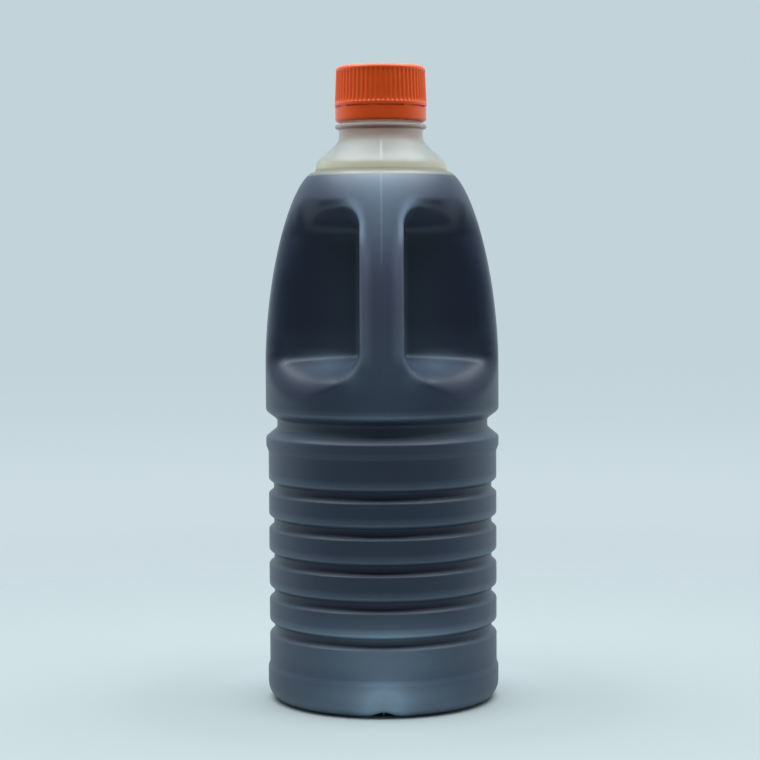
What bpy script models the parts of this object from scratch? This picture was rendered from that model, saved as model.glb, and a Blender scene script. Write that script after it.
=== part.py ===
"""A sauce bottle of about 1.6 litres with a grip ridge down its front, shut by a ribbed screw cap.

The blow-moulded bottle stands at z = 0 on its base ring, with its axis on Z and the grip ridge
facing -Y. Its wall is a body of revolution with a finger pocket cut into each side of the ridge.
The sauce fills it to the ledge under the neck. Lengths below are in millimetres.
"""

import math

import bmesh
import bpy
import numpy as np

MM = 0.001

# Body, from the base up
BODY_R = 53.45
RIBBED_R = 52.4
FOOT_R = 53.2
STAND_R = (40.0, 46.5)  # inner and outer edge of the flat ring that the bottle stands on
PUSH_UP_R = 34.0
PUSH_UP = 3.0
FOOT_CORNER = 8.0
FOOT_TOP = (14.6, 16.9)  # heights between which the foot steps in to the ribbed wall
SEAM_NOTCH = 1.3  # rise of the base ring where the mould's parting line crosses it
STANDING = slice(2, 5)  # the rings of the profile below that this notch lifts

# Five grooves round the lower wall
GROOVES = 5
GROOVE_PITCH = 16.2
LOWEST_GROOVE = 33.4
GROOVE_DEPTH = 2.3
GROOVE_HALF = 3.3
GROOVE_FLOOR_HALF = 1.4

# Waist between the ribbed wall and the grip
BAND = (114.0, 116.8, 120.8)  # heights of the band's step, its lower and its upper edge
WAIST_R = 48.3
WAIST_FLOOR = (125.0, 128.9)
RIM = 133.4
RIM_CHAMFER = (0.8, 1.2)

# Shoulder: radius falls from BODY_R at SHOULDER_LOW to LEDGE_R at SHOULDER_TOP
SHOULDER_LOW = 154.0
SHOULDER_TOP = 241.4
LEDGE_R = 31.0
SHOULDER_POWERS = (1.8, 0.625)

# Neck
COLLAR_R = 29.9
COLLAR = (241.9, 243.5)
NECK_R = 19.1
NECK_LOW = 257.5
RING_R = 20.8
RING = (260.6, 262.9)
FINISH_R = 18.4
MOUTH = 287.0
BORE_R = 17.1

# Grip: a ridge of half width RIDGE_HALF between two pockets, which reach back to their rear wall
RIDGE_HALF = 9.8
POCKET_REAR = 19.5  # distance of the rear wall in front of the axis, beside the ridge
REAR_DRAFT = 0.07
POCKET_FLOOR = 157.5  # at the rear wall, as is the ceiling's height
POCKET_CEILING = 215.5
FLARE_FROM = 22.0  # distance from the middle plane at which floor and ceiling start to steepen
FLARE_SOFTNESS = 6.0
FLOOR_OUTWARD = 0.03  # fall of the floor towards the flank, along the rear wall
FLOOR_SLOPE = (0.25, 0.015)  # towards the front, and what each millimetre of the flare adds
CEILING_SLOPE = (0.52, 0.036)
REAR_FILLET = 2.5
CORNER_FILLET = (2.0, 0.35)  # at the rear wall, and what each millimetre in front of it adds
LIP = (3.2, 3.0)  # edge radius beside the ridge, and what it gains towards the flank
LIP_SPREAD = (16.0, 38.0)  # distances from the middle plane between which it gains this
FLOOR_LIP = 1.5  # more, at the flank's end of the floor
FLOOR_LIP_FALL = (172.0, 156.0)
ARCH_LIP = 5.5  # more, where the ceiling's edge fades into the flank
ARCH_LIP_SPREAD = (26.0, 36.0)
ARCH_LIP_RISE = (192.0, 214.0)

# Wall, contents and cap
WALL = 1.2
SAUCE_GAP = 0.4  # keeps the two meshes apart where they bend
SAUCE_LEVEL = 239.5
CAP_TOP = 289.2
CAP_PLATE = 1.8
CAP_R = (20.35, 20.9)  # over the ribs, at the top and at the bottom
CAP_BORE_R = 18.8
CAP_CORNER = 2.2
RIBS = 72
RIB_DEPTH = 0.45
RIB_SPAN = (272.9, 285.8)
SLIT = (270.5, 271.1)
BRIDGES = 8
BRIDGE_DEGREES = 13.0
FIRST_BRIDGE = 36.0
BAND_LOW = 264.1
BAND_CHAMFER = 0.9
BAND_INSET = 0.15  # of the tamper band from the skirt's outline
SKIRT_FLARE = 0.1  # of the skirt's plain lower edge
SLIT_MARGIN = 0.3  # between the slit and the next ring of points
SLIT_STEPS = 2

# How finely the round surfaces are divided
TURNS = 26
NECK_TURNS = 24
RIDGE_SHARES = (0, 0.5, 0.86, 1.09)  # of the angle at which the ridge meets the body's outline
SIDE_SHARES = (0.28, 0.63, 1.0)  # from there to the corner at the rear wall
REAR_DEGREES = (35, 44, 54, 63, 71, 80, 92, 107, 125, 143, 161, 180)
GRIP_HEIGHTS = (140, 143, 145.5, 148, 150, 152, 154, 156, 158, 160.5, 176, 191, 204, 211,
                214, 216, 218, 220, 222, 224, 226, 229, 234, 238.5)
CAP_TURNS = 36


def smooth_step(low, high, value):
    """0 up to low, 1 from high, and a soft S between them."""
    t = np.clip((value - low) / (high - low), 0.0, 1.0)
    return t * t * (3.0 - 2.0 * t)


def rounded_max(a, b, radius):
    """The larger of two signed distances, with the edge between them rounded to a radius."""
    bent = np.hypot(np.maximum(a + radius, 0.0), np.maximum(b + radius, 0.0)) - radius
    larger = np.maximum(a, b)
    return np.where(larger > -radius, bent, larger)


def shoulder_radius(z):
    """Radius of the upper body as a body of revolution, before the grip is cut."""
    rise, fall = SHOULDER_POWERS
    u = np.clip((z - SHOULDER_LOW) / (SHOULDER_TOP - SHOULDER_LOW), 0.0, 1.0)
    return LEDGE_R + (BODY_R - LEDGE_R) * (1.0 - u**rise) ** fall


def pocket_distance(x, y, z):
    """Signed distance to the grip's two finger pockets, negative in their air.

    The floor falls and the ceiling rises towards the front, and both do so more steeply outwards.
    """
    out = np.abs(x)
    rear = y + POCKET_REAR - REAR_DRAFT * (out - RIDGE_HALF)
    ahead = np.maximum(-rear, 0.0)
    flare = (out - FLARE_FROM + np.hypot(out - FLARE_FROM, FLARE_SOFTNESS)) / 2
    floor_slope = FLOOR_SLOPE[0] + FLOOR_SLOPE[1] * flare
    ceiling_slope = CEILING_SLOPE[0] + CEILING_SLOPE[1] * flare
    floor_z = POCKET_FLOOR - floor_slope * ahead - FLOOR_OUTWARD * (out - RIDGE_HALF)
    floor = (floor_z - z) / np.hypot(1.0, floor_slope)
    ceiling = (z - POCKET_CEILING - ceiling_slope * ahead) / np.hypot(1.0, ceiling_slope)
    corner = CORNER_FILLET[0] + CORNER_FILLET[1] * ahead
    opening = rounded_max(RIDGE_HALF - out, np.maximum(floor, ceiling), corner)
    return rounded_max(opening, rear, REAR_FILLET)


def lip_radius(out, z):
    """Edge radius of the pockets: small beside the ridge, larger at the flank and at its two ends."""
    aside = smooth_step(*LIP_SPREAD, out)
    low = smooth_step(*FLOOR_LIP_FALL, z)
    high = smooth_step(*ARCH_LIP_RISE, z)
    arch = ARCH_LIP * smooth_step(*ARCH_LIP_SPREAD, out)
    return LIP[0] + (LIP[1] + FLOOR_LIP * low) * aside * (1.0 - high) + arch * high


def body_distance(x, y, z):
    """Signed distance to the outside of the upper body, negative in it, with the grip's soft lips."""
    step = 0.05
    slope = (shoulder_radius(z + step) - shoulder_radius(z - step)) / (2 * step)
    turned = (np.hypot(x, y) - shoulder_radius(z)) / np.sqrt(1.0 + slope**2)
    return rounded_max(turned, -pocket_distance(x, y, z), lip_radius(np.abs(x), z))


def grip_angles(z):
    """Angles round the body, from the front over +X, which follow the ridge's edge and corner."""
    edge = math.asin(RIDGE_HALF / float(shoulder_radius(z)))
    corner = math.atan2(RIDGE_HALF, POCKET_REAR)
    half = [share * edge for share in RIDGE_SHARES]
    past = half[-1]
    half += [past + share * (corner - past) for share in SIDE_SHARES]
    half += [math.radians(degrees) for degrees in REAR_DEGREES]
    return np.array(half + [2 * math.pi - angle for angle in half[-2:0:-1]])


def even_angles(count):
    """Angles of an even ring, from the front over +X."""
    return np.arange(count) * (2 * math.pi / count)


def around(angles, radius, z):
    """Points at a radius from the axis, as rows of x, y and z."""
    angles, radius, z = np.broadcast_arrays(angles, radius, z)
    return np.stack([radius * np.sin(angles), -radius * np.cos(angles), z], axis=1)


def grip_ring(z, inset):
    """The ring of the upper body at a height, moved into the wall by inset along its normals."""
    angles = grip_angles(z)
    near = np.full(angles.shape, 5.0)
    far = np.full(angles.shape, float(shoulder_radius(z)) + 2.0)
    for _ in range(40):
        middle = (near + far) / 2
        inside = body_distance(*around(angles, middle, z).T) < 0
        near = np.where(inside, middle, near)
        far = np.where(inside, far, middle)
    ring = around(angles, near, z)
    step = 0.1
    normal = np.empty_like(ring)
    for axis in range(3):
        shift = np.zeros(3)
        shift[axis] = step
        normal[:, axis] = body_distance(*(ring + shift).T) - body_distance(*(ring - shift).T)
    normal /= np.linalg.norm(normal, axis=1, keepdims=True)
    return ring - inset * normal


def lower_profile():
    """Outside of the wall from the middle of the base to the rim under the grip, as (r, z)."""
    points = [(0.0, PUSH_UP), (PUSH_UP_R, PUSH_UP), (STAND_R[0], 0.0), (STAND_R[1], 0.0)]
    for degrees in (30, 60, 90):
        a = math.radians(degrees)
        corner_r = STAND_R[1] + (FOOT_R - STAND_R[1]) * math.sin(a)
        points.append((corner_r, FOOT_CORNER * (1 - math.cos(a))))
    points += [(FOOT_R, FOOT_TOP[0]), (RIBBED_R, FOOT_TOP[1])]
    for groove in range(GROOVES):
        z = LOWEST_GROOVE + GROOVE_PITCH * groove
        points.append((RIBBED_R, z - GROOVE_HALF))
        points.append((RIBBED_R - GROOVE_DEPTH, z - GROOVE_FLOOR_HALF))
        points.append((RIBBED_R - GROOVE_DEPTH, z + GROOVE_FLOOR_HALF))
        points.append((RIBBED_R, z + GROOVE_HALF))
    points += [(RIBBED_R, BAND[0]), (BODY_R, BAND[1]), (BODY_R, BAND[2])]
    points += [(WAIST_R, WAIST_FLOOR[0]), (WAIST_R, WAIST_FLOOR[1])]
    points += [(BODY_R - RIM_CHAMFER[0], RIM - RIM_CHAMFER[1]), (BODY_R, RIM)]
    return points


def neck_profile():
    """Outside of the wall from the ledge over the sauce up to the neck, as (r, z)."""
    points = [(LEDGE_R, SHOULDER_TOP), (COLLAR_R, COLLAR[0]), (COLLAR_R, COLLAR[1])]
    for share in (0.2, 0.4, 0.6, 0.8, 1.0):
        z = COLLAR[1] + share * (NECK_LOW - COLLAR[1])
        flare = 1.0 - smooth_step(COLLAR[1], NECK_LOW, z)
        points.append((NECK_R + (COLLAR_R - NECK_R) * float(flare), z))
    return points


def moved_in(profile, inset):
    """A profile moved into the wall by inset, mitred at its corners, with the ends kept in line."""
    points = np.array(profile)
    run = np.diff(points, axis=0)
    normal = np.stack([run[:, 1], -run[:, 0]], axis=1)
    normal /= np.linalg.norm(normal, axis=1, keepdims=True)
    before = np.vstack([normal[:1], normal])
    after = np.vstack([normal, normal[-1:]])
    mitre = (before + after) / (1.0 + np.sum(before * after, axis=1, keepdims=True))
    moved = points - inset * mitre
    moved[:, 0] = np.where(points[:, 0] == 0, 0.0, moved[:, 0])
    return moved


def turned_rings(profile, count):
    """One ring of points for each point of a profile, a single point where the radius is 0."""
    rings = []
    for r, z in profile:
        angles = even_angles(count) if r > 0 else np.zeros(1)
        rings.append(around(angles, r, z))
    return rings


def notched(rings):
    """The rings that the bottle stands on, lifted at the two places where the parting line crosses."""
    for ring in rings[STANDING]:
        ring[[0, len(ring) // 2], 2] += SEAM_NOTCH
    return rings


def body_rings(inset):
    """Rings from the middle of the base up to the last one under the ledge."""
    lower = moved_in(lower_profile(), inset)
    rings = notched(turned_rings(lower, TURNS))
    return rings + [grip_ring(z, inset) for z in GRIP_HEIGHTS]


def skin(bm, rings, inward=False):
    """Faces between each ring and the next, from the base up. Gives back the rows of vertices."""
    rows = [[bm.verts.new(point * MM) for point in ring] for ring in rings]
    for lower, upper in zip(rows, rows[1:]):
        stitch(bm, lower, upper, inward)
    return rows


def turn_of(vert):
    """Angle of a vertex round the axis, from the front over +X, as a share of a turn."""
    return math.atan2(vert.co.x, -vert.co.y) / (2 * math.pi) % 1.0


def stitch(bm, lower, upper, inward=False):
    """Triangles between two rings, always stepping along the ring whose next point comes first.

    Rings of one count are paired point by point, and others by their angles.
    """
    m, n = len(lower), len(upper)
    low_turns = [k / m if m == n else turn_of(lower[k]) for k in range(m)] + [1.0, 2.0]
    up_turns = [k / n if m == n else turn_of(upper[k]) for k in range(n)] + [1.0, 2.0]
    tie = 1e-5
    i = j = 0
    while i < m or j < n:
        along_low = j >= n or (i < m and low_turns[i + 1] <= up_turns[j + 1] + tie)
        here = lower if along_low else upper
        third = lower[(i + 1) % m] if along_low else upper[(j + 1) % n]
        if len(here) > 1:
            corners = (lower[i % m], third, upper[j % n])
            bm.faces.new(corners[::-1] if inward else corners)
        i += along_low
        j += not along_low


def new_object(name, bm, material, sharp_degrees=38):
    """An object with a finished mesh, smooth but for its sharp edges."""
    mesh = bpy.data.meshes.new(name)
    bm.to_mesh(mesh)
    bm.free()
    mesh.shade_smooth()
    mesh.set_sharp_from_angle(angle=math.radians(sharp_degrees))
    if material:
        mesh.materials.append(material)
    made = bpy.data.objects.new(name, mesh)
    bpy.context.scene.collection.objects.link(made)
    return made


def plastic(name, colour, roughness, transmission=0.0):
    """A material with a plain Principled shader."""
    material = bpy.data.materials.new(name)
    material.use_nodes = True
    shader = material.node_tree.nodes["Principled BSDF"]
    shader.inputs["Base Color"].default_value = (*colour, 1.0)
    shader.inputs["Roughness"].default_value = roughness
    shader.inputs["Metallic"].default_value = 0.0
    shader.inputs["Transmission Weight"].default_value = transmission
    return material


def make_bottle():
    """The open bottle: its outside up to the mouth, then its inside down to the base."""
    top = [(RING_R, RING[0]), (RING_R, RING[1]), (FINISH_R, RING[1]), (FINISH_R, MOUTH)]
    neck = neck_profile()
    outside = body_rings(0.0)
    outside += turned_rings(neck + [(NECK_R, RING[0])] + top, NECK_TURNS)
    bore = [(BORE_R, RING[0]), (BORE_R, MOUTH)]
    inside = body_rings(WALL)
    inside += turned_rings(list(moved_in(neck, WALL)) + bore, NECK_TURNS)
    bm = bmesh.new()
    mouth_out = skin(bm, outside)[-1]
    mouth_in = skin(bm, inside, inward=True)[-1]
    stitch(bm, mouth_out, mouth_in)
    material = plastic("milky_polyethylene", (0.62, 0.68, 0.70), 0.38, 0.5)
    return new_object("bottle", bm, material)


def make_sauce():
    """The dark sauce, a little clear of the wall, up to its level."""
    inset = WALL + SAUCE_GAP
    rings = body_rings(inset)
    near, far = 5.0, LEDGE_R
    for _ in range(40):
        middle = (near + far) / 2
        if body_distance(0.0, middle, SAUCE_LEVEL) < -inset:
            near = middle
        else:
            far = middle
    rings += turned_rings([(near, SAUCE_LEVEL), (0.0, SAUCE_LEVEL)], NECK_TURNS)
    bm = bmesh.new()
    skin(bm, rings)
    return new_object("sauce", bm, plastic("dark_soy_sauce", (0.020, 0.012, 0.010), 0.15))


def rib_ring(z):
    """One ring of the cap's ribs, with a crest and a valley for each."""
    share = (z - RIB_SPAN[0]) / (RIB_SPAN[1] - RIB_SPAN[0])
    crest = CAP_R[1] + (CAP_R[0] - CAP_R[1]) * share
    depth = np.tile([0.0, RIB_DEPTH], RIBS)
    return around(even_angles(2 * RIBS), crest - depth, z)


def slit_cutter():
    """Curved bars between the bridges, which cut the tamper band from the skirt."""
    bm = bmesh.new()
    open_angle = 360 / BRIDGES - BRIDGE_DEGREES
    for bridge in range(BRIDGES):
        start = FIRST_BRIDGE + BRIDGE_DEGREES / 2 + bridge * 360 / BRIDGES
        sections = []
        for step in range(SLIT_STEPS + 1):
            a = math.radians(start + open_angle * step / SLIT_STEPS)
            corners = [(CAP_BORE_R - 1, SLIT[0]), (CAP_R[1] + 1, SLIT[0]),
                       (CAP_R[1] + 1, SLIT[1]), (CAP_BORE_R - 1, SLIT[1])]
            sections.append([bm.verts.new(around(a, r, np.array([z]))[0] * MM) for r, z in corners])
        bm.faces.new(sections[0])
        bm.faces.new(sections[-1][::-1])
        for here, there in zip(sections, sections[1:]):
            for k in range(4):
                bm.faces.new((here[k], there[k], there[(k + 1) % 4], here[(k + 1) % 4]))
    bmesh.ops.recalc_face_normals(bm, faces=bm.faces)
    cutter = new_object("slit_cutter", bm, None)
    cutter.hide_render = True
    cutter.display_type = "WIRE"
    return cutter


def make_cap():
    """The screw cap with its tamper band: inside from the plate down, then outside and over."""
    band_r = CAP_R[1] - BAND_INSET
    inner = [(0.0, CAP_TOP - CAP_PLATE), (CAP_BORE_R, CAP_TOP - CAP_PLATE), (CAP_BORE_R, BAND_LOW)]
    low = [(band_r - BAND_CHAMFER, BAND_LOW), (band_r, BAND_LOW + BAND_CHAMFER),
           (band_r, SLIT[0] - SLIT_MARGIN), (CAP_R[1] + SKIRT_FLARE, SLIT[1] + SLIT_MARGIN)]
    shoulder = []
    for degrees in (0, 30, 60, 90):
        a = math.radians(degrees)
        r = CAP_R[0] - CAP_CORNER * (1 - math.cos(a))
        shoulder.append((r, CAP_TOP - CAP_CORNER * (1 - math.sin(a))))
    rings = turned_rings(inner + low, CAP_TURNS)
    rings += [rib_ring(RIB_SPAN[0]), rib_ring(RIB_SPAN[1])]
    rings += turned_rings(shoulder + [(0.0, CAP_TOP)], CAP_TURNS)
    bm = bmesh.new()
    skin(bm, rings)
    cap = new_object("cap", bm, plastic("orange_polypropylene", (0.60, 0.085, 0.014), 0.35), 50)
    cut = cap.modifiers.new("slit", "BOOLEAN")
    cut.operation = "DIFFERENCE"
    cut.solver = "EXACT"
    cut.object = slit_cutter()
    return cap


def main():
    for old in list(bpy.data.objects):
        bpy.data.objects.remove(old)
    bottle = make_bottle()
    for held in (make_sauce(), make_cap()):
        held.parent = bottle


main()
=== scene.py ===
"""Looks of a sauce bottle of about 1.6 litres: milky blow-moulded wall, dark sauce, ribbed screw cap.

The bottle stands at z = 0 with its axis on Z and its grip ridge facing -Y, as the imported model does.
Its wall, the sauce and the cap are grids of points: rows along an outline, columns round the axis.
Lengths below are in millimetres, and points turn to metres when they go into a mesh.
"""

import math

import bmesh
import bpy
import numpy as np
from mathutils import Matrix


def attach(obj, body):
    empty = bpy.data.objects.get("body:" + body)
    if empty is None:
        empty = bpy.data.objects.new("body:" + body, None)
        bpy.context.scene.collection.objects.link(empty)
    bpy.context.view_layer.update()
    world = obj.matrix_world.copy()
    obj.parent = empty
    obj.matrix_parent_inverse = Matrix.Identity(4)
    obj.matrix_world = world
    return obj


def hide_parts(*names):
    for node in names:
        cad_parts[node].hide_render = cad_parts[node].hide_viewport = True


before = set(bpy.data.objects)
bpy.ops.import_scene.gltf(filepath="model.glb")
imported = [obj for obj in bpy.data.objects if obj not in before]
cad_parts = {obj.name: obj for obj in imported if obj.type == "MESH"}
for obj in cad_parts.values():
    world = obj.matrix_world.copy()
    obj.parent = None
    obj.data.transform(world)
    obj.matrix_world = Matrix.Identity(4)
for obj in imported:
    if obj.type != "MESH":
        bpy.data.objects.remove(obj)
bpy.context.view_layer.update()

MM = 0.001

# Body, from the base up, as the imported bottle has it
BODY_R = 53.45
RIBBED_R = 52.4
FOOT_R = 53.2
STAND_R = (40.0, 46.5)
PUSH_UP_R = 34.0
PUSH_UP = 3.0
FOOT_CORNER = 8.0
FOOT_TOP = (14.6, 16.9)
GROOVES = 5
GROOVE_PITCH = 16.2
LOWEST_GROOVE = 33.4
GROOVE_DEPTH = 2.3
GROOVE_HALF = 3.3
GROOVE_FLOOR_HALF = 1.4
GROOVE_FILLETS = (1.3, 0.9)  # at its edges and at its floor
BAND = (114.0, 116.8, 120.8)
WAIST_R = 48.3
WAIST_FLOOR = (125.0, 128.9)
RIM = 133.4
RIM_BEVEL = (0.8, 1.2)
GRIP_LOW = 141.0

# Shoulder and neck
SHOULDER_LOW = 154.0
SHOULDER_TOP = 241.4
SHOULDER_POWERS = (1.8, 0.625)
LEDGE_R = 31.0
COLLAR_R = 29.9
COLLAR_FOOT = (COLLAR_R + 0.3, 241.8, 0.4)  # radius, height and fillet where it leaves the ledge
COLLAR = (242.9, 243.5)  # its lowest row, and where it starts to draw in
NECK_ROWS = 18
NECK_R = 19.1
NECK_LOW = 257.5
RING_R = 20.8
RING = (260.6, 262.9)
FINISH_R = 18.4
MOUTH = 287.0
BORE_R = 17.1

# Grip ridge between two finger pockets
RIDGE_HALF = 9.8
POCKET_REAR = 19.5
REAR_DRAFT = 0.07
POCKET_FLOOR = 157.5
POCKET_CEILING = 215.5
FLARE = (22.0, 6.0)  # distance from the middle at which floor and ceiling start to steepen, and softness
FLOOR_OUTWARD = 0.03
FLOOR_SLOPE = (0.25, 0.015)  # forwards, and its gain per millimetre of flare
CEILING_SLOPE = (0.52, 0.036)
REAR_FILLET = 2.5
CORNER_FILLET = (2.0, 0.35)
LIP = (3.2, 3.0)  # edge radius beside the ridge, and what it gains towards the flank
LIP_SPREAD = (16.0, 38.0)
FLOOR_LIP = 1.5  # more, at the flank's end of the floor
FLOOR_LIP_FALL = (172.0, 156.0)
ARCH_LIP = 5.5  # more, where the ceiling's edge fades into the flank
ARCH_LIP_SPREAD = (26.0, 36.0)
ARCH_LIP_RISE = (192.0, 214.0)

# Wall, mould marks and contents
WALL = 1.2
SEAM_RISE = 0.13
SEAM_HALF = 0.32
NOTCH_RISE = 1.9  # of the base ring at the parting line, rounder and 0.6 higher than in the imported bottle
NOTCH_HALF = 7.4
NOTCH_REACH = (5.0, 0.0)  # height over the table over which the notch bends the wall
NOTCH_DEEP = (36.0, 41.0)  # distance in front of or behind the axis over which it comes in
NOTCH_REACH_INSIDE = (8.0, 1.0)
NOTCH_DEEP_INSIDE = (34.0, 40.0)
FIN_SHARE = 0.75  # of the notch's rise that a thin fin in its middle fills again
FIN_REACH = (1.5, 0.0)
SAUCE_INSET = 0.8  # from the outside of the wall, so that the sauce reaches just into it
SAUCE_LEVEL = 239.5

# Cap. The ribs' count and top end and the soft top corner follow the photograph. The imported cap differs:
# it has 72 ribs that end at 285.8, a corner of 2.2 and a slit that goes right through its wall.
CAP_TOP = 289.2
CAP_PLATE = 1.8
CAP_R = (20.35, 20.9)  # at the top and at the foot of the ribs
CAP_BORE_R = 18.8
CAP_CORNER = 3.3
RIBS = 60
RIB_POINTS = 12
RIB_DEPTH = 0.45
RIB_SPAN = (272.9, 286.4)
RIB_FADES = ((-0.4, 0.5), (1.5, -0.4))  # over which it comes in at each end
BEAD_R = CAP_R[1] + 0.1
BAND_R = CAP_R[1] - 0.15
BAND_LOW = 264.1
BAND_CHAMFER = 0.9
SLIT = (270.5, 271.1)
SLIT_DEPTH = 1.3
SLIT_GAPE = (0.15, 0.85)  # share of the depth all round, and what it gains at the two sides
BRIDGES = 8
BRIDGE_DEGREES = 13.0
BRIDGE_EDGE = 0.6
FIRST_BRIDGE = 36.0

# Columns round the axis and rows up it
SEAM_COLUMNS = (0.0, 0.022, 0.045, 0.075, 0.12, 0.2)  # shares of the angle of the ridge's edge
RIDGE_COLUMNS = 14
SIDE_COLUMNS = 25
BACK_COLUMNS = ((36, 8), (54, 12), (80, 13), (180, 25))  # up to an angle, how many
GRIP_ROWS = ((GRIP_LOW, 147, 1.5), (147, 163, 0.62), (163, 209, 1.6), (209, 231, 0.62))
DOME_ROWS = 20
DOME_CROWDING = 1.7
INSIDE_SPACING = (3.0, 3.2, 1.5)  # lower wall, rows of the grip as a multiple, neck
SAUCE_SPACING = (1.6, 1.8)
SAUCE_RINGS = 8

# Camera at the photograph's angle
CAMERA_AT = (-0.96, -952.05, 203.8)
CAMERA_TILT = 86.54  # degrees from straight down
CAMERA_ROLL = -0.3
LENS = 98.24


def smooth_step(low, high, value):
    """0 up to low, 1 from high, and a soft S between them."""
    t = np.clip((value - low) / (high - low), 0.0, 1.0)
    return t * t * (3.0 - 2.0 * t)


def bell(value, half):
    """1 at 0, falling as exp(-(value / half)^2)."""
    return np.exp(-((value / half) ** 2))


def rounded_max(a, b, radius):
    """The larger of two signed distances, with the edge between them rounded to a radius."""
    bent = np.hypot(np.maximum(a + radius, 0.0), np.maximum(b + radius, 0.0)) - radius
    larger = np.maximum(a, b)
    return np.where(larger > -radius, bent, larger)


def shoulder_radius(z):
    """Ledge radius plus (1 - u^1.8)^0.625 of the step to the body, u running 0 to 1 up the shoulder."""
    rise, fall = SHOULDER_POWERS
    u = np.clip((z - SHOULDER_LOW) / (SHOULDER_TOP - SHOULDER_LOW), 0.0, 1.0)
    return LEDGE_R + (BODY_R - LEDGE_R) * (1.0 - u**rise) ** fall


def pocket_distance(x, y, z):
    """Signed distance to the finger pockets' air.

    The air lies beside the ridge, between a floor that falls and a ceiling that rises towards the
    front, and ends at a rear wall. Its inner corners are rounded.
    """
    out = np.abs(x)
    rear = y + POCKET_REAR - REAR_DRAFT * (out - RIDGE_HALF)
    ahead = np.maximum(-rear, 0.0)
    past = out - FLARE[0]
    flare = (past + np.hypot(past, FLARE[1])) / 2
    floor_slope = FLOOR_SLOPE[0] + FLOOR_SLOPE[1] * flare
    ceiling_slope = CEILING_SLOPE[0] + CEILING_SLOPE[1] * flare
    floor_z = POCKET_FLOOR - floor_slope * ahead - FLOOR_OUTWARD * (out - RIDGE_HALF)
    floor = (floor_z - z) / np.hypot(1.0, floor_slope)
    ceiling = (z - POCKET_CEILING - ceiling_slope * ahead) / np.hypot(1.0, ceiling_slope)
    corner = CORNER_FILLET[0] + CORNER_FILLET[1] * ahead
    opening = rounded_max(RIDGE_HALF - out, np.maximum(floor, ceiling), corner)
    return rounded_max(opening, rear, REAR_FILLET)


def lip_radius(out, z):
    """Edge radius of the pockets: small beside the ridge, larger at the flank and at its two ends."""
    aside = smooth_step(*LIP_SPREAD, out)
    low = smooth_step(*FLOOR_LIP_FALL, z)
    high = smooth_step(*ARCH_LIP_RISE, z)
    arch = ARCH_LIP * smooth_step(*ARCH_LIP_SPREAD, out)
    return LIP[0] + (LIP[1] + FLOOR_LIP * low) * aside * (1.0 - high) + arch * high


def body_distance(x, y, z):
    """Signed distance to the upper body: the turned shoulder less the pockets, with soft lips."""
    step = 0.05
    slope = (shoulder_radius(z + step) - shoulder_radius(z - step)) / (2 * step)
    turned_away = (np.hypot(x, y) - shoulder_radius(z)) / np.sqrt(1.0 + slope**2)
    return rounded_max(turned_away, -pocket_distance(x, y, z), lip_radius(np.abs(x), z))


def around(angles, radius, z):
    """Points (r sin a, -r cos a, z): angle 0 is the front, and it grows towards +X."""
    angles, radius, z = np.broadcast_arrays(angles, radius, z)
    return np.stack([radius * np.sin(angles), -radius * np.cos(angles), z], axis=-1)


def ridge_columns(z):
    """Angles of the columns in each row, one row for each height.

    On the ridge they are shares of the angle of its edge, closest at the seam and at the edge. Along
    its side they step in even lengths back to the rear wall. From there to the back they only widen.
    """
    edge = np.arcsin(RIDGE_HALF / shoulder_radius(z))[:, None]
    spread = 1.0 - 0.8 * np.linspace(1.0, 0.0, RIDGE_COLUMNS + 2)[1:-1] ** 1.5
    front = np.concatenate([SEAM_COLUMNS, spread])
    ahead = RIDGE_HALF / np.tan(edge)
    eased = smooth_step(-0.25, 1.15, np.linspace(0.0, 1.0, SIDE_COLUMNS))
    share = (eased - eased[0]) / (eased[-1] - eased[0])
    side = np.arctan(RIDGE_HALF / (ahead + (POCKET_REAR - ahead) * share))
    reached = math.degrees(math.atan2(RIDGE_HALF, POCKET_REAR))
    rest = []
    for degrees, count in BACK_COLUMNS:
        rest.append(np.linspace(reached, degrees, count + 1)[1:])
        reached = degrees
    rest = np.radians(np.concatenate(rest))
    half = np.hstack([edge * front, side, np.broadcast_to(rest, (len(z), len(rest)))])
    return np.hstack([half, 2 * math.pi - half[:, -2:0:-1]])


def grip_surface(heights, inset):
    """Upper body at each height: along each column the distance field is bisected from the axis out.

    The points found are then moved into the wall by inset, along the field's slope.
    """
    z = heights[:, None]
    angles = ridge_columns(heights)
    near = np.full(angles.shape, 5.0)
    far = np.broadcast_to(shoulder_radius(z) + 2.0, angles.shape)
    for _ in range(36):
        middle = (near + far) / 2
        inside = body_distance(*np.moveaxis(around(angles, middle, z), -1, 0)) < 0
        near = np.where(inside, middle, near)
        far = np.where(inside, far, middle)
    return moved_along_normals(around(angles, near, z), body_distance, -inset)


def moved_along_normals(points, distance, by):
    """Points moved outwards along the slope of a distance field."""
    step = 0.1
    slope = np.empty_like(points)
    for axis in range(3):
        shift = np.zeros(3)
        shift[axis] = step
        ahead = distance(*np.moveaxis(points + shift, -1, 0))
        slope[..., axis] = ahead - distance(*np.moveaxis(points - shift, -1, 0))
    slope /= np.linalg.norm(slope, axis=-1, keepdims=True)
    return points + by * slope


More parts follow.
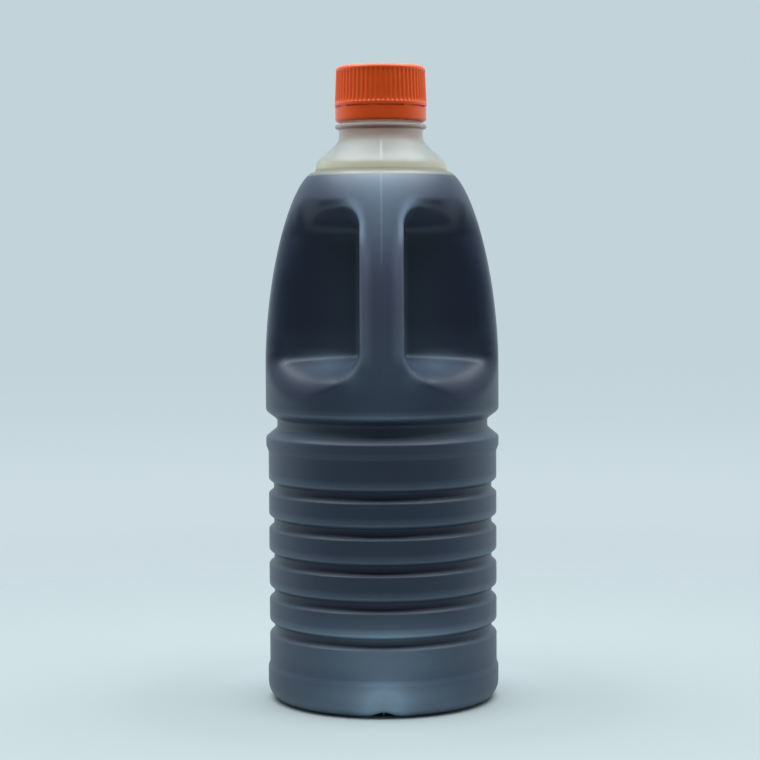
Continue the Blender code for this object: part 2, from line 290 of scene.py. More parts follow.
def filleted(corners, spacing=3.0, arc_degrees=14.0):
    """An outline of (r, z) with each corner (r, z, radius) turned into an arc.

    The arc starts radius * tan(half the turn) before the corner. Straight runs get points in between.
    """
    points = np.array([corner[:2] for corner in corners], float)
    radii = [corner[2] for corner in corners]
    out = [points[0]]
    for k in range(1, len(points) - 1):
        before = points[k - 1] - points[k]
        after = points[k + 1] - points[k]
        room = min(np.linalg.norm(before), np.linalg.norm(after)) * 0.499
        before /= np.linalg.norm(before)
        after /= np.linalg.norm(after)
        turn = math.pi - math.acos(np.clip(before @ after, -1.0, 1.0))
        back = radii[k] * math.tan(turn / 2)
        if back < 1e-6:
            out.append(points[k])
            continue
        radius = radii[k] * min(1.0, room / back)
        back = min(back, room)
        halfway = (before + after) / np.linalg.norm(before + after)
        centre = points[k] + halfway * radius / math.cos(turn / 2)
        steps = max(2, math.ceil(math.degrees(turn) / arc_degrees))
        start = points[k] + before * back - centre
        end = points[k] + after * back - centre
        for share in np.linspace(0.0, 1.0, steps + 1):
            weight = np.sin([(1 - share) * turn, share * turn]) / math.sin(turn)
            out.append(centre + weight[0] * start + weight[1] * end)
    out.append(points[-1])
    dense = [out[0]]
    for here, there in zip(out, out[1:]):
        pieces = max(1, math.ceil(np.linalg.norm(there - here) / spacing))
        dense += [here + (there - here) * k / pieces for k in range(1, pieces + 1)]
    return np.array(dense)


def thinned(outline, spacing):
    """An outline without the points that lie closer than a spacing to the last one kept."""
    kept = [outline[0]]
    for point in outline[1:-1]:
        if np.linalg.norm(point - kept[-1]) >= spacing:
            kept.append(point)
    return np.array(kept + [outline[-1]])


def moved_in(outline, inset):
    """An outline moved into the wall by inset, mitred at its points."""
    run = np.diff(outline, axis=0)
    keep = np.concatenate([[True], np.linalg.norm(run, axis=1) > 1e-6])
    outline = outline[keep]
    run = np.diff(outline, axis=0)
    normal = np.stack([run[:, 1], -run[:, 0]], axis=1)
    normal /= np.linalg.norm(normal, axis=1, keepdims=True)
    before = np.vstack([normal[:1], normal])
    after = np.vstack([normal, normal[-1:]])
    mitre = (before + after) / (1.0 + np.sum(before * after, axis=1, keepdims=True))
    moved = outline - inset * mitre
    moved[:, 0] = np.where(outline[:, 0] < 1e-6, 0.0, np.maximum(moved[:, 0], 0.0))
    return moved


def lower_outline():
    """Outside of the wall from the middle of the base to the foot of the grip, with its radii."""
    corners = [(0.0, PUSH_UP, 0), (PUSH_UP_R, PUSH_UP, 4.0), (STAND_R[0], 0.0, 3.0), (STAND_R[1], 0.0, 0)]
    for degrees in (15, 30, 45, 60, 75, 90):
        a = math.radians(degrees)
        r = STAND_R[1] + (FOOT_R - STAND_R[1]) * math.sin(a)
        corners.append((r, FOOT_CORNER * (1 - math.cos(a)), 0))
    corners += [(FOOT_R, FOOT_TOP[0], 1.2), (RIBBED_R, FOOT_TOP[1], 1.2)]
    edge, inner = GROOVE_FILLETS
    for groove in range(GROOVES):
        z = LOWEST_GROOVE + GROOVE_PITCH * groove
        corners.append((RIBBED_R, z - GROOVE_HALF, edge))
        corners.append((RIBBED_R - GROOVE_DEPTH, z - GROOVE_FLOOR_HALF, inner))
        corners.append((RIBBED_R - GROOVE_DEPTH, z + GROOVE_FLOOR_HALF, inner))
        corners.append((RIBBED_R, z + GROOVE_HALF, edge))
    corners += [(RIBBED_R, BAND[0], 1.5), (BODY_R, BAND[1], 1.5), (BODY_R, BAND[2], 1.6)]
    corners += [(WAIST_R, WAIST_FLOOR[0], 2.0), (WAIST_R, WAIST_FLOOR[1], 2.0)]
    corners += [(BODY_R - RIM_BEVEL[0], RIM - RIM_BEVEL[1], 1.2), (BODY_R, RIM, 1.2)]
    corners.append((BODY_R, GRIP_LOW - 1.0, 0))
    return filleted(corners)


def grip_heights(multiple=1.0):
    """Heights of the grip's rows, closest at the pockets' floor and ceiling and over the dome's top."""
    rows = [np.arange(low, high, step * multiple) for low, high, step in GRIP_ROWS]
    drop = SHOULDER_TOP - GRIP_ROWS[-1][1]
    shares = np.linspace(1.0, 0.0, round(DOME_ROWS / multiple)) ** DOME_CROWDING
    return np.concatenate(rows + [(SHOULDER_TOP - drop * shares)[:-1]])


def neck_outline():
    """Outside of the wall from the ledge to the neck under the ring, a soft S from collar to neck."""
    z = np.linspace(COLLAR[0], NECK_LOW, NECK_ROWS)
    flare = 1.0 - smooth_step(COLLAR[1], NECK_LOW, z)
    corners = [(r, h, 0) for r, h in zip(NECK_R + (COLLAR_R - NECK_R) * flare, z)]
    return filleted([(LEDGE_R, SHOULDER_TOP, 0), COLLAR_FOOT] + corners)


def finish_outline():
    """Support ring, threaded finish as a plain tube, mouth and bore, ending inside under the ring."""
    return filleted([
        (NECK_R, NECK_LOW + 0.4, 0), (NECK_R, RING[0], 0.7), (RING_R, RING[0] + 0.5, 0.8),
        (RING_R, RING[1] - 0.1, 0.7), (FINISH_R, RING[1] + 0.1, 0.4), (FINISH_R, MOUTH, 0.5),
        (BORE_R, MOUTH, 0.5), (BORE_R, RING[0], 0)])


def turned(outline):
    """A surface of revolution: the outline at every column of the body's foot."""
    base = np.full(len(outline), GRIP_LOW)
    return around(ridge_columns(base), outline[:, :1], outline[:, 1:])


def notch(x, y, z, reach, deep):
    """Rise of the notch in the base ring: a cosine arch over its width, fading up and inwards."""
    arch = np.cos(np.clip(np.abs(x) / NOTCH_HALF, 0.0, 1.0) * math.pi / 2) ** 2
    return NOTCH_RISE * arch * smooth_step(*reach, z) * smooth_step(*deep, np.abs(y))


def with_mould_marks(points):
    """The parting line's raised seam at front and back, and the notch that it leaves in the base ring.

    The seam stands out from the axis by SEAM_RISE times a bell over the distance from the middle
    plane. In the notch a fin as thin as the seam comes down again.
    """
    x, y, z = np.moveaxis(points, -1, 0)
    radius = np.hypot(x, y)
    outer = radius > STAND_R[0]
    seam = bell(x, SEAM_HALF) * outer
    scale = 1.0 + SEAM_RISE * seam / np.maximum(radius, 1e-6)
    rise = notch(x, y, z, NOTCH_REACH, NOTCH_DEEP)
    fin = FIN_SHARE * seam * notch(x, y, z, FIN_REACH, NOTCH_DEEP)
    return np.stack([x * scale, y * scale, z + rise - fin], -1)


def notched_inside(points):
    """The base notch alone, for what lies inside the wall."""
    x, y, z = np.moveaxis(points, -1, 0)
    return np.stack([x, y, z + notch(x, y, z, NOTCH_REACH_INSIDE, NOTCH_DEEP_INSIDE)], -1)


# Much of this map is painted light and shade rather than the milky wall's thickness: highlights on lips,
# edges and the dome, and painted shade in grooves, recesses and pockets.
# Milkiness of the wall, 1 on a flat land of the lower wall. A ramp is (amount, from, to), a swell
# (amount, middle, half width) and a patch (amount, distance from the middle plane, half width, height,
# half height). They run over the height unless their name says otherwise. All amounts are fitted
# to how bright the photograph's front is, and none is a thickness measured on a bottle.
# The crest's gains up the dome and along the ridge are partly a painted highlight of the light from above
CREST = 1.6
CREST_AT_FOOT = (0.4, 155, 14)
CREST_UP_DOME = (2.0, 188, 227)
CREST_BY_LEDGE = (0.5, 233, 7)
CREST_HALF = 16
CREST_HALF_AT_FOOT = (6, 165, 150)
FLANK = 0.8
FLANK_DARKER = (0.4, 214, 24)
# Painted light on the flank's front edge beside the pockets' floor
FLANK_FRONT_LIGHT = (0.9, 48, 4, 166, 14)
FLANK_FRONT_LIGHT_AHEAD = (-4, -18)
# Painted highlight along the ridge's edges, where they turn to the sides
RIDGE_HIGHLIGHT_ACROSS = (0.9, 3.0, 7.5)
RIDGE_HIGHLIGHT_IN = (152, 162)
RIDGE_HIGHLIGHT_OUT = (218, 198)
# Painted shade on the pockets' rear walls, lifted beside the ridge, at the foot and at the top
REAR_SHADE = 0.46
REAR_ACROSS = (0.74, RIDGE_HALF, 17)
REAR_FOOT = (0.6, 174, 163)
REAR_TOP = (0.5, 205, 214)
REAR_TOP_ACROSS = (38, 26)
# Painted light on the pockets' up-facing floors
FLOOR_LIGHT_ACROSS = (2.8, 42, 22)
FLOOR_BY_RIDGE = (0.6, RIDGE_HALF, 9)
FLOOR_AHEAD = (0.5, 6, 20)
FLOOR_START_AHEAD = (1.5, 4.5)
FLOOR_RISE = (172, 163)
FLOOR_SURE = (163, 159)
# Painted shade on the floor's front lip
LOW_LIP_SHADE = 0.5
LOWEST_LIP_SHADE = (0.7, 161, 156)
LOW_LIP_ACROSS = (12, 22)
# Painted highlight on the ceiling's lip near the ridge, and on the shoulder just above it
HIGH_LIP_HIGHLIGHT_ACROSS = (1.0, 14, 9)
HIGH_LIP_HIGHLIGHT = (200, 212)
BROW_OFF_POCKET = (1.6, 1.0, 2.2)
BROW_ACROSS = (13, 6)
BROW_HIGHLIGHT = (206, 214)
# Patches on the front: painted light beside the ridge's foot, painted shade under the floors, and a painted
# dark reflection over the arches
RIDGE_FOOT_LIGHT = (0.5, 13, 4, 150, 5)
UNDER_FLOOR_SHADE = (0.4, 30, 9, 150, 6)
ARCH_DARK_REFLECTION = (0.35, 27, 9, 222, 9)
GROOVE_SHADE = (0.5, 0.3)  # painted shade in a groove, and more below its middle
GROOVE_ACROSS = (50, 42)
GROOVE_TOP_HIGHLIGHT = (1.8, GROOVE_HALF, 0.9)
GROOVE_LOW_WALL_SHADE = (0.5, -2.6, 0.9)
GROOVE_LOW_WALL_SHADE_HALF = 24
BAND_PALE = (0.25, 110, 114)
# Painted shadow in the waist's middle, under the rim's overhang
WAIST_SHADE_HALF = (0.45, 18)
WAIST_LINE = (1.2, 124.3, 1.0)
WAIST_LINE_ACROSS = (48, 36)
FOOT = (3.6, 56, 24)
FOOT_LOW = (1.2, 17, 9)
FOOT_HALF = 29
PINCH = (6.5, 24, 4)
PINCH_HALF = 10
# Painted reflection of the table on the foot's corner at the sides
CORNER_REFLECTION = (1.4, 9, 1)
CORNER_REFLECTION_ACROSS = (12, 38)
FOOT_STEP = (0.22, 17.5, 3.5)
# Painted highlight along the rim
RIM_HIGHLIGHT = (1.8, RIM - 0.6, 1.1)
# The seam is a real raised mould line; its pale line here is a painted highlight on it
SEAM_HIGHLIGHT = (0.45, 0.0, 0.35)
SEAM_HIGH = (196, 206)
SEAM_LOW = (14, 12)
NECK_SEAM_HIGHLIGHT = (9.0, 0.0, 0.4)

# Where mauve shows on the ridge, and where it tints a painted dark reflection over the pockets' arches
MAUVE_RIDGE = (1.0, 188, 24)
MAUVE_RIDGE_IN = (146, 158)
MAUVE_ARCH_REFLECTION = (1.0, 27, 10, 223, 9)

# Heights over which the wall's colour changes over the sauce
MENISCUS = (SAUCE_LEVEL - 0.3, SAUCE_LEVEL + 0.5)
# Cream and olive painted in for the collar's refraction band; warm painted light from the cap under the
# ring
COLLAR_CREAM = (248.0, 243.0)
LEDGE_OLIVE = (243.2, 242.2)
CAP_WARM_LIGHT = (251.0, 261.0)


def ramp(value, amount, start, end):
    """An amount that comes in as a soft S from start to end."""
    return amount * smooth_step(start, end, value)


def swell(value, amount, middle, half):
    """An amount that falls off as a bell to both sides of its middle."""
    return amount * bell(value - middle, half)


def patch(out, z, amount, across, wide, height, tall):
    """An amount that falls off as a bell across and as a bell up and down."""
    return amount * bell(out - across, wide) * bell(z - height, tall)


def crest_milk_and_highlight(out, y, z):
    """Milk and painted highlight of the turned shoulder: a bell from the darker flank to the pale crest.

    The crest is partly thicker wall and partly a painted highlight of the light from above, and it
    gains at the ridge's foot, up the dome and under the ledge. The flank is darkest beside the pockets'
    ceiling, and its front edge has painted light beside their floor.
    """
    crest = CREST + swell(z, *CREST_AT_FOOT) + ramp(z, *CREST_UP_DOME) + swell(z, *CREST_BY_LEDGE)
    flank = FLANK - swell(z, *FLANK_DARKER)
    milk_and_light = flank + (crest - flank) * bell(out, CREST_HALF + ramp(z, *CREST_HALF_AT_FOOT))
    return milk_and_light * (1 + patch(out, z, *FLANK_FRONT_LIGHT) * smooth_step(*FLANK_FRONT_LIGHT_AHEAD, y))


def pocket_light_and_shade(out, y, z):
    """Pockets: painted shade on the rear wall, deeper away from the ridge, and painted light on the floor.

    The rear wall's shade lifts at its foot and at its top. The floor's light is palest in its middle,
    and starts a little in front of the rear wall.
    """
    ahead = -y - POCKET_REAR
    rear = (REAR_SHADE + swell(out, *REAR_ACROSS)) * (1 + ramp(z, *REAR_FOOT))
    rear = rear * (1 + ramp(z, *REAR_TOP) * smooth_step(*REAR_TOP_ACROSS, out))
    floor = 1 + ramp(out, *FLOOR_LIGHT_ACROSS) * (1 - swell(out, *FLOOR_BY_RIDGE))
    floor = floor * (1 - ramp(ahead, *FLOOR_AHEAD))
    started = smooth_step(*FLOOR_START_AHEAD, ahead) * smooth_step(*FLOOR_RISE, z)
    return rear + (floor - rear) * np.maximum(started, smooth_step(*FLOOR_SURE, z))


def upper_milk_and_light(x, y, z):
    """Milk and painted light over the rim: the crest's on the turned surface and the pockets' in them.

    Two shares say how far a point lies within the edge radius of each, and twice their product is the
    lip. The floor's lip has painted shade and the ceiling's a painted highlight near the ridge, with a
    painted highlight on the shoulder just above it. The ridge's edges get a painted highlight; on the
    front the ridge's foot gets painted light, under the floors painted shade, and over the arches a
    painted dark reflection.
    """
    out = np.abs(x)
    front = y < 0
    lip = lip_radius(out, z)
    from_pocket = pocket_distance(x, y, z)
    on_turned = np.clip((np.hypot(x, y) - shoulder_radius(z)) / lip + 1, 0, 1)
    in_pocket = np.clip(1 - from_pocket / lip, 0, 1) * front
    milk_and_light = crest_milk_and_highlight(out, y, z)
    on_ridge = on_turned * front * (out < RIDGE_HALF + 1)
    # painted highlight on the ridge's edges
    ridge_edge_highlight = smooth_step(*RIDGE_HIGHLIGHT_IN, z) * smooth_step(*RIDGE_HIGHLIGHT_OUT, z) * on_ridge
    milk_and_light *= 1 + ramp(out, *RIDGE_HIGHLIGHT_ACROSS) * ridge_edge_highlight
    milk_and_light += (pocket_light_and_shade(out, y, z) - milk_and_light) * in_pocket**2
    edge = 2 * on_turned * in_pocket
    low = LOW_LIP_SHADE * smooth_step(*FLOOR_RISE, z) + ramp(z, *LOWEST_LIP_SHADE)
    milk_and_light *= 1 - low * smooth_step(*LOW_LIP_ACROSS, out) * edge
    milk_and_light *= 1 + swell(out, *HIGH_LIP_HIGHLIGHT_ACROSS) * smooth_step(*HIGH_LIP_HIGHLIGHT, z) * edge
    # painted highlight on the shoulder just above the ceiling's lip
    brow_highlight = swell(from_pocket, *BROW_OFF_POCKET) * smooth_step(*BROW_HIGHLIGHT, z) * on_turned * front
    milk_and_light *= 1 + brow_highlight * bell(out - BROW_ACROSS[0], BROW_ACROSS[1])
    # painted light, painted shade and a painted dark reflection on the front
    milk_and_light *= 1 + patch(out, z, *RIDGE_FOOT_LIGHT) * front
    milk_and_light *= 1 - patch(out, z, *UNDER_FLOOR_SHADE) * front
    return milk_and_light * (1 - patch(out, z, *ARCH_DARK_REFLECTION) * on_turned * front)


def lower_milk_and_shade(out, radius, z):
    """Milk and painted shade under the rim: painted shade in the grooves and the waist, thick at the foot.

    A groove's painted shade is deepest below its middle and on its lower wall, with a painted
    highlight on its top edge. The foot is paler in the middle, most of all over the notch where the
    parison was pinched off, and its corner has a painted reflection of the table at the sides.
    """
    nearest = np.clip(np.round((z - LOWEST_GROOVE) / GROOVE_PITCH), 0, GROOVES - 1)
    from_groove = z - LOWEST_GROOVE - GROOVE_PITCH * nearest
    recess = np.clip((RIBBED_R - radius) / GROOVE_DEPTH, 0, 1) * (np.abs(from_groove) < GROOVE_HALF + 0.5)
    # painted shade in a groove, deepest below its middle
    thin = GROOVE_SHADE[0] + GROOVE_SHADE[1] * (from_groove < 0)
    milk_and_light = 1 - recess * thin * smooth_step(*GROOVE_ACROSS, out)
    # painted highlight on a groove's top edge, painted shade on its lower wall
    milk_and_light *= 1 + swell(from_groove, *GROOVE_TOP_HIGHLIGHT)
    low_wall_shade = swell(from_groove, *GROOVE_LOW_WALL_SHADE) * (radius < RIBBED_R - 0.1)
    milk_and_light *= 1 - low_wall_shade * bell(out, GROOVE_LOW_WALL_SHADE_HALF)
    milk_and_light *= 1 + ramp(z, *BAND_PALE)
    # painted shadow in the waist under the rim's overhang
    waist = np.clip((BODY_R - radius) / (BODY_R - WAIST_R), 0, 1) * smooth_step(BAND[2] - 1, BAND[2] + 1, z)
    line = swell(z, *WAIST_LINE) * smooth_step(*WAIST_LINE_ACROSS, out)
    milk_and_light *= 1 - WAIST_SHADE_HALF[0] * waist * bell(out, WAIST_SHADE_HALF[1]) + line
    foot = (ramp(z, *FOOT) + ramp(z, *FOOT_LOW)) * bell(out, FOOT_HALF)
    pinch = ramp(z, *PINCH) * bell(out, PINCH_HALF)
    # painted reflection of the table on the corner at the sides
    corner = ramp(z, *CORNER_REFLECTION) * smooth_step(*CORNER_REFLECTION_ACROSS, out)
    return milk_and_light * (1 + foot + pinch + corner) * (1 - swell(z, *FOOT_STEP))


def milkiness_and_painted_light(points):
    """How much paler than on a flat land the outside of the wall looks against the sauce, 1 on a land.

    It is pale at the foot, as if the wall were thick there, and pale along the ridge and over the dome
    partly so and partly as a painted highlight. It is painted shade in the grooves, the waist and the
    pockets' rear walls, and darker on the flanks. On lips, edges and grooves it also paints highlights
    and shade for light that this studio doesn't give, so it isn't thickness alone. The rim has a painted
    highlight line, and so has the seam at the foot and up the dome, over its fine raised line. Over the
    ledge only the seam counts.
    """
    x, y, z = np.moveaxis(points, -1, 0)
    lower = lower_milk_and_shade(np.abs(x), np.hypot(x, y), z)
    # painted highlight line along the rim
    milk_and_light = np.where(z > RIM - 2.0, upper_milk_and_light(x, y, z), lower) * (1 + swell(z, *RIM_HIGHLIGHT))
    # painted highlight along the raised seam
    seam = np.maximum(smooth_step(*SEAM_HIGH, z), smooth_step(*SEAM_LOW, z))
    milk_and_light = milk_and_light * (1 + swell(x, *SEAM_HIGHLIGHT) * seam)
    # on the neck the seam's painted highlight line also lets less light through
    return np.where(z > SHOULDER_TOP, 1 + swell(x, *NECK_SEAM_HIGHLIGHT), milk_and_light)


def mauve_tint(points):
    """Where the front is mauve, 0 to 1: half-way up the ridge and over the arches.

    On the ridge it is taken for the sauce's red showing through. Over the arches it tints a painted
    dark reflection. It is fitted the same way as the wall's paleness.
    """
    x, y, z = np.moveaxis(points, -1, 0)
    out = np.abs(x)
    ridge = swell(z, *MAUVE_RIDGE) * smooth_step(*MAUVE_RIDGE_IN, z) * (out < RIDGE_HALF + 1)
    return np.maximum(ridge, patch(out, z, *MAUVE_ARCH_REFLECTION)) * (y < 0)


def grid_mesh(name, points, material, shares=None):
    """A mesh from rows of points that close round the axis.

    Quads run from each row to the next, so rows that go up the outside face outwards. An end row on
    one spot becomes a pole. Shares are point attributes, each an array with a value for each point.
    """
    rows, columns = points.shape[:2]
    index = np.arange(rows * columns).reshape(rows, columns)
    here, there = index[:-1], index[1:]
    quads = np.stack([here, np.roll(here, -1, 1), np.roll(there, -1, 1), there], -1)
    mesh = bpy.data.meshes.new(name)
    mesh.from_pydata(points.reshape(-1, 3) * MM, [], quads.reshape(-1, 4).tolist())
    for key, values in (shares or {}).items():
        mesh.attributes.new(key, "FLOAT", "POINT").data.foreach_set("value", values.ravel())
    made = bpy.data.objects.new(name, mesh)
    bpy.context.scene.collection.objects.link(made)
    merge_poles(mesh)
    mesh.shade_smooth()
    mesh.materials.append(material)
    return made


def merge_poles(mesh):
    """Joins the points that lie on one spot, such as a pole's, and drops the faces that this closes."""
    bm = bmesh.new()
    bm.from_mesh(mesh)
    bmesh.ops.remove_doubles(bm, verts=bm.verts, dist=1e-7)
    bmesh.ops.dissolve_degenerate(bm, edges=bm.edges, dist=1e-8)
    bm.to_mesh(mesh)
    bm.free()


def linear(code):
    """An sRGB hex colour as linear red, green, blue and alpha."""
    parts = [int(code[k:k + 2], 16) / 255 for k in (1, 3, 5)]
    return [p / 12.92 if p <= 0.04045 else ((p + 0.055) / 1.055) ** 2.4 for p in parts] + [1.0]


def add(tree, kind, links=None, values=None, **settings):
    """A node of a kind, with its settings, its sockets' values and what its sockets are linked to."""
    node = tree.nodes.new(kind)
    for key, value in settings.items():
        setattr(node, key, value)
    for key, value in (values or {}).items():
        node.inputs[key].default_value = value
    for key, source in (links or {}).items():
        tree.links.new(source, node.inputs[key])
    return node


def mixed(tree, factor, a, b, blend="MIX"):
    """The colour that a mix gives. Its factor and its two colours are each a socket or a value."""
    given = {"Factor": factor, "A": a, "B": b}
    links = {key: value for key, value in given.items() if isinstance(value, bpy.types.NodeSocket)}
    values = {key: value for key, value in given.items() if key not in links}
    return add(tree, "ShaderNodeMix", links, values, data_type="RGBA", blend_type=blend).outputs[2]


def rising(tree, value, low, high):
    """A socket that is 0 up to low, 1 from high, and a soft S between them."""
    return add(tree, "ShaderNodeMapRange", {"Value": value}, {"From Min": low, "From Max": high},
               interpolation_type="SMOOTHSTEP").outputs["Result"]


def ranged(tree, value, low, high):
    """A socket that runs from low to high as a value runs from 0 to 1."""
    made = add(tree, "ShaderNodeMapRange", {"Value": value}, {"To Min": low, "To Max": high})
    return made.outputs["Result"]


def noise(tree, place, size, detail=2.0):
    """Soft noise from 0 to 1 with lumps of a size in millimetres."""
    made = add(tree, "ShaderNodeTexNoise", {"Vector": place}, {"Scale": 1 / (size * MM), "Detail": detail})
    return made.outputs["Fac"]


def new_material(name):
    """An empty node material: itself, its tree, its Principled shader and the place in the object."""
    material = bpy.data.materials.new(name)
    material.use_nodes = True
    tree = material.node_tree
    place = add(tree, "ShaderNodeTexCoord").outputs["Object"]
    return material, tree, tree.nodes["Principled BSDF"], place


def roughened(tree, shader, skin, strength, depth, rough):
    """A fine skin: it bumps the surface by a depth in millimetres and sways its roughness."""
    bump = add(tree, "ShaderNodeBump", {"Height": skin}, {"Strength": strength, "Distance": depth * MM})
    tree.links.new(bump.outputs["Normal"], shader.inputs["Normal"])
    tree.links.new(ranged(tree, skin, *rough), shader.inputs["Roughness"])


def milky_polyethylene():
    """Blow-moulded polyethylene: milky and translucent, satin from the mould's blasted skin.

    Against the dark sauce the wall's faint milky haze scatters slate blue light back, paler where the
    wall is thick and where its map paints light, darker where it paints shade. Over the empty neck the
    same wall passes the light from behind and looks white. Its cream at the collar and olive at the
    ledge are painted in for the band that refraction through the collar's thick corner shows, and its
    warmth under the ring is painted light from the orange cap.
    """
    material, tree, shader, place = new_material("milky_polyethylene")
    metres = add(tree, "ShaderNodeSeparateXYZ", {"Vector": place}).outputs["Z"]
    height = add(tree, "ShaderNodeMath", {0: metres}, {1: 1 / MM}, operation="MULTIPLY").outputs[0]
    milk_and_light = add(tree, "ShaderNodeAttribute", attribute_name="milk_and_light").outputs["Fac"]
    mauve = add(tree, "ShaderNodeAttribute", attribute_name="mauve").outputs["Fac"]
    uneven = ranged(tree, noise(tree, place, 22, 3.0), 0.9, 1.1)
    paler = add(tree, "ShaderNodeMath", {0: milk_and_light, 1: uneven}, operation="MULTIPLY").outputs[0]
    share = add(tree, "ShaderNodeMapRange", {"Value": paler}, {"From Min": 0.2, "From Max": 9.0})
    slate = mixed(tree, share.outputs["Result"], linear("#0C1E40"), linear("#B0CCE4"))
    tint = mixed(tree, mauve, (1.0, 1.0, 1.0, 1.0), (1.22, 0.94, 1.0, 1.0))
    over_sauce = mixed(tree, 1.0, slate, tint, "MULTIPLY")

    # cream and olive painted in for the band seen by refraction through the collar's thick corner
    empty = mixed(tree, rising(tree, height, *COLLAR_CREAM), linear("#E0E1DA"), linear("#FFF4D8"))
    empty = mixed(tree, rising(tree, height, *LEDGE_OLIVE), empty, linear("#C9C7B6"))
    # painted warm light from the orange cap under the ring
    empty = mixed(tree, rising(tree, height, *CAP_WARM_LIGHT), empty, linear("#FFEADF"))

    above = rising(tree, height, *MENISCUS)
    tree.links.new(mixed(tree, above, over_sauce, empty), shader.inputs["Base Color"])
    neck_clear = add(tree, "ShaderNodeMapRange", {"Value": milk_and_light},
                     {"From Min": 2.0, "From Max": 10.0, "To Min": 0.9, "To Max": 0.5})
    clear = add(tree, "ShaderNodeMapRange", {"Value": above, "To Max": neck_clear.outputs["Result"]},
                {"To Min": 0.35})
    tree.links.new(clear.outputs["Result"], shader.inputs["Transmission Weight"])
    roughened(tree, shader, noise(tree, place, 1.1), 0.10, 0.05, (0.42, 0.50))
    shader.inputs["IOR"].default_value = 1.51
    return material


def dark_sauce():
    """Thick soy sauce: nearly black brown, wet and smooth on top."""
    material, tree, shader, place = new_material("dark_sauce")
    brown = mixed(tree, noise(tree, place, 30), linear("#0E0B0B"), linear("#191112"))
    tree.links.new(brown, shader.inputs["Base Color"])
    shader.inputs["Roughness"].default_value = 0.35
    shader.inputs["IOR"].default_value = 1.36
    return material


def orange_polypropylene():
    """Injection-moulded polypropylene: even orange, satin, with a faint orange-peel skin."""
    material, tree, shader, place = new_material("orange_polypropylene")
    orange = mixed(tree, noise(tree, place, 6), linear("#F25509"), linear("#F8590C"))
    tree.links.new(orange, shader.inputs["Base Color"])
    roughened(tree, shader, noise(tree, place, 0.7), 0.12, 0.04, (0.34, 0.42))
    shader.inputs["IOR"].default_value = 1.49
    shader.inputs["Subsurface Weight"].default_value = 0.15
    shader.inputs["Subsurface Radius"].default_value = (1.0, 0.35, 0.15)
    shader.inputs["Subsurface Scale"].default_value = 1.2 * MM
    return material


def make_bottle_shell():
    """The bottle's wall as one closed skin: outside up to the mouth, then inside down to the base."""
    outside = np.concatenate([
        turned(lower_outline()), grip_surface(grip_heights(), 0.0), turned(neck_outline())])
    low, grip, neck = INSIDE_SPACING
    inside = np.concatenate([
        turned(moved_in(thinned(lower_outline(), low), WALL)), grip_surface(grip_heights(grip), WALL),
        turned(moved_in(thinned(neck_outline(), neck), WALL))])[::-1]
    points = np.concatenate([with_mould_marks(outside), turned(finish_outline()), notched_inside(inside)])
    milk_and_light = np.ones(points.shape[:2])
    milk_and_light[:len(outside)] = milkiness_and_painted_light(outside)
    mauve = np.zeros(points.shape[:2])
    mauve[:len(outside)] = mauve_tint(outside)
    shell = grid_mesh("bottle_shell", points, milky_polyethylene(), {"milk_and_light": milk_and_light, "mauve": mauve})
    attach(shell, "root")
    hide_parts("bottle")


def make_sauce_body():
    """The sauce, a little into the wall all round, with a level top."""
    low, grip = SAUCE_SPACING
    lower = turned(moved_in(thinned(lower_outline(), low), SAUCE_INSET))
    heights = grip_heights(grip)
    heights = np.append(heights[heights < SAUCE_LEVEL - 0.4], SAUCE_LEVEL)
    body = grip_surface(heights, SAUCE_INSET)
    body[..., 2] = np.minimum(body[..., 2], SAUCE_LEVEL)
    body[-1, :, 2] = SAUCE_LEVEL
    top = body[-1:] * np.linspace(0.97, 0.0, SAUCE_RINGS)[:, None, None]
    top[..., 2] = SAUCE_LEVEL
    sauce = grid_mesh("sauce_body", np.concatenate([notched_inside(lower), body, top]), dark_sauce())
    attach(sauce, "root")
    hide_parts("sauce")


def cap_outline():
    """The cap from the middle of its plate inside, down the bore and up the outside to the top."""
    return filleted([
        (0.0, CAP_TOP - CAP_PLATE, 0), (CAP_BORE_R, CAP_TOP - CAP_PLATE, 0.6), (CAP_BORE_R, BAND_LOW, 0.3),
        (BAND_R - BAND_CHAMFER, BAND_LOW, 0.3), (BAND_R, BAND_LOW + BAND_CHAMFER, 0.5),
        (BAND_R, SLIT[0] - 0.05, 0.15), (BAND_R - 0.01, SLIT[0], 0), (BAND_R, SLIT[1], 0),
        (BEAD_R, SLIT[1] + 0.25, 0.2), (BEAD_R, RIB_SPAN[0] - 0.5, 0.4),
        (CAP_R[1], RIB_SPAN[0], 0.2), (CAP_R[0], CAP_TOP - CAP_CORNER, 1.0),
        (CAP_R[0], CAP_TOP, CAP_CORNER), (0.0, CAP_TOP, 0)], spacing=1.2, arc_degrees=10)


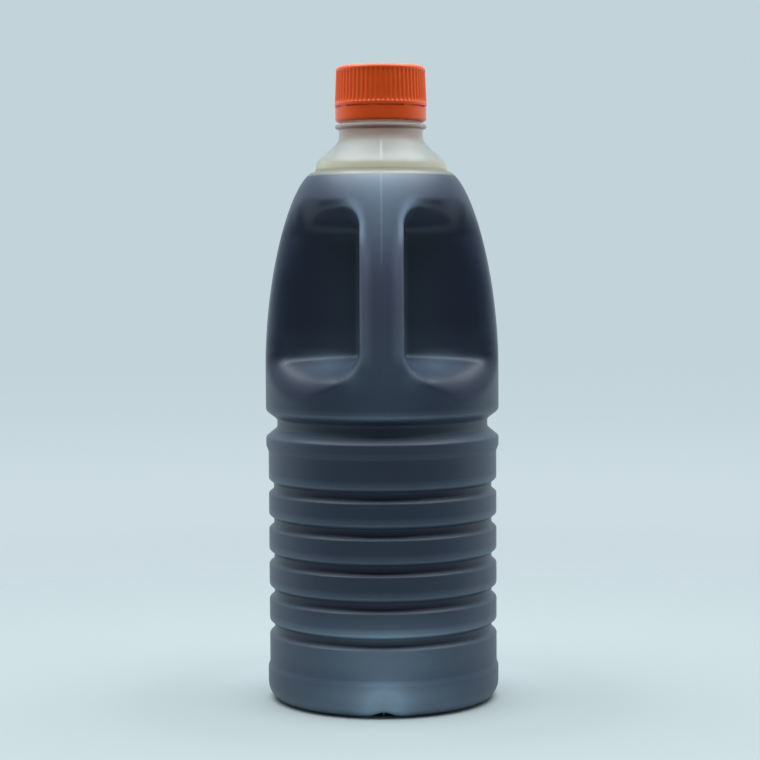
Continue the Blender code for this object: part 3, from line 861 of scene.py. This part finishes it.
def make_screw_cap():
    """The cap with its upright ribs and, under them, the slit over the tamper band.

    Each rib is a raised cosine over its share of a turn, and it fades in at both ends of the ribs.
    The slit goes in between the bridges only, and gapes most at the two sides.
    """
    outline = cap_outline()
    r, z = outline[:, :1], outline[:, 1:]
    outer = np.arange(len(outline))[:, None] > np.argmax(outline[:, 1] < BAND_LOW + 0.01)
    count = RIBS * RIB_POINTS
    angles = np.arange(count) * (2 * math.pi / count)

    foot, top = RIB_FADES
    ribbed = smooth_step(RIB_SPAN[0] + foot[0], RIB_SPAN[0] + foot[1], z)
    ribbed = ribbed * smooth_step(RIB_SPAN[1] + top[0], RIB_SPAN[1] + top[1], z) * outer
    valley = RIB_DEPTH * ribbed * (0.5 - 0.5 * np.cos(angles * RIBS)) ** 0.8

    turn = np.degrees(angles) - FIRST_BRIDGE
    from_bridge = np.abs((turn + 180 / BRIDGES) % (360 / BRIDGES) - 180 / BRIDGES)
    half = BRIDGE_DEGREES / 2
    open_here = smooth_step(half - BRIDGE_EDGE, half + BRIDGE_EDGE, from_bridge)
    in_slit = (z > SLIT[0] - 0.01) & (z < SLIT[1] + 0.01) & outer
    gape = SLIT_GAPE[0] + SLIT_GAPE[1] * np.sin(angles) ** 2

    points = around(angles, r - valley - SLIT_DEPTH * gape * in_slit * open_here, z)
    cap = grid_mesh("screw_cap", points, orange_polypropylene())
    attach(cap, "root")
    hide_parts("cap")


def make_floor():
    """A pale sheet on the table that fades into the backdrop's colour.

    It is palest next to the bottle, which lifts the shade round the foot to the little that the
    photograph has.
    """
    material, tree, shader, place = new_material("pale_paper")
    far = add(tree, "ShaderNodeVectorMath", {0: place}, operation="LENGTH").outputs["Value"]
    tone = mixed(tree, noise(tree, place, 1000 / 3), linear("#A3A9A8"), linear("#A5ABAA"))
    paler = mixed(tree, rising(tree, far, 0.11, 0.055), tone, linear("#B0B7B6"))
    tree.links.new(paler, shader.inputs["Base Color"])
    shader.inputs["Roughness"].default_value = 0.8
    fade = add(tree, "ShaderNodeMapRange", {"Value": far},
               {"From Min": 0.05, "From Max": 0.65, "To Min": 1.0, "To Max": 0.0})
    tree.links.new(fade.outputs["Result"], shader.inputs["Alpha"])
    half = 2.0
    corners = [(-half, -half, 0), (half, -half, 0), (half, half, 0), (-half, half, 0)]
    mesh = bpy.data.meshes.new("floor")
    mesh.from_pydata(corners, [], [(0, 1, 2, 3)])
    mesh.materials.append(material)
    floor = bpy.data.objects.new("floor", mesh)
    bpy.context.scene.collection.objects.link(floor)


def light_the_studio():
    """A pale tent that is dim on the camera's side, with a large soft lamp overhead.

    The backdrop that the camera sees has colours of its own and gives no light.
    """
    scene = bpy.context.scene
    world = bpy.data.worlds.new("studio")
    scene.world = world
    world.use_nodes = True
    tree = world.node_tree
    tree.nodes.clear()
    way = add(tree, "ShaderNodeTexCoord").outputs["Generated"]
    axes = add(tree, "ShaderNodeSeparateXYZ", {"Vector": way})
    side = ranged(tree, rising(tree, axes.outputs["Y"], -0.35, 0.3), 0.25, 1.34)
    tent = add(tree, "ShaderNodeBackground", {"Strength": side}, {"Color": linear("#C4D5DC")})
    sweep = mixed(tree, rising(tree, axes.outputs["Z"], -0.05, -0.12), linear("#C2D3DA"), linear("#CDDCE3"))
    seen = add(tree, "ShaderNodeBackground", {"Color": sweep}, {"Strength": 1.0})
    path = add(tree, "ShaderNodeLightPath").outputs["Is Camera Ray"]
    either = add(tree, "ShaderNodeMixShader", {0: path, 1: tent.outputs[0], 2: seen.outputs[0]})
    add(tree, "ShaderNodeOutputWorld", {"Surface": either.outputs[0]})
    lamp = bpy.data.lights.new("overhead", "AREA")
    lamp.shape = "RECTANGLE"
    lamp.size = 1.5
    lamp.size_y = 0.8
    lamp.energy = 22.5
    lamp.color = (0.88, 0.95, 1.0)
    holder = bpy.data.objects.new("overhead", lamp)
    holder.location = (0.0, 0.0, 1.05)
    scene.collection.objects.link(holder)
    scene.view_settings.view_transform = "Standard"


def make_camera():
    """The camera, a little over the shoulder's height and tilted down."""
    data = bpy.data.cameras.new("camera")
    data.lens = LENS
    data.sensor_width = 36.0
    camera = bpy.data.objects.new("camera", data)
    camera.location = [c * MM for c in CAMERA_AT]
    camera.rotation_mode = "XYZ"
    camera.rotation_euler = (math.radians(CAMERA_TILT), 0.0, 0.0)
    camera.rotation_euler.rotate_axis("Z", math.radians(CAMERA_ROLL))
    bpy.context.scene.collection.objects.link(camera)
    bpy.context.scene.camera = camera


make_bottle_shell()
make_sauce_body()
make_screw_cap()
make_floor()
light_the_studio()
make_camera()
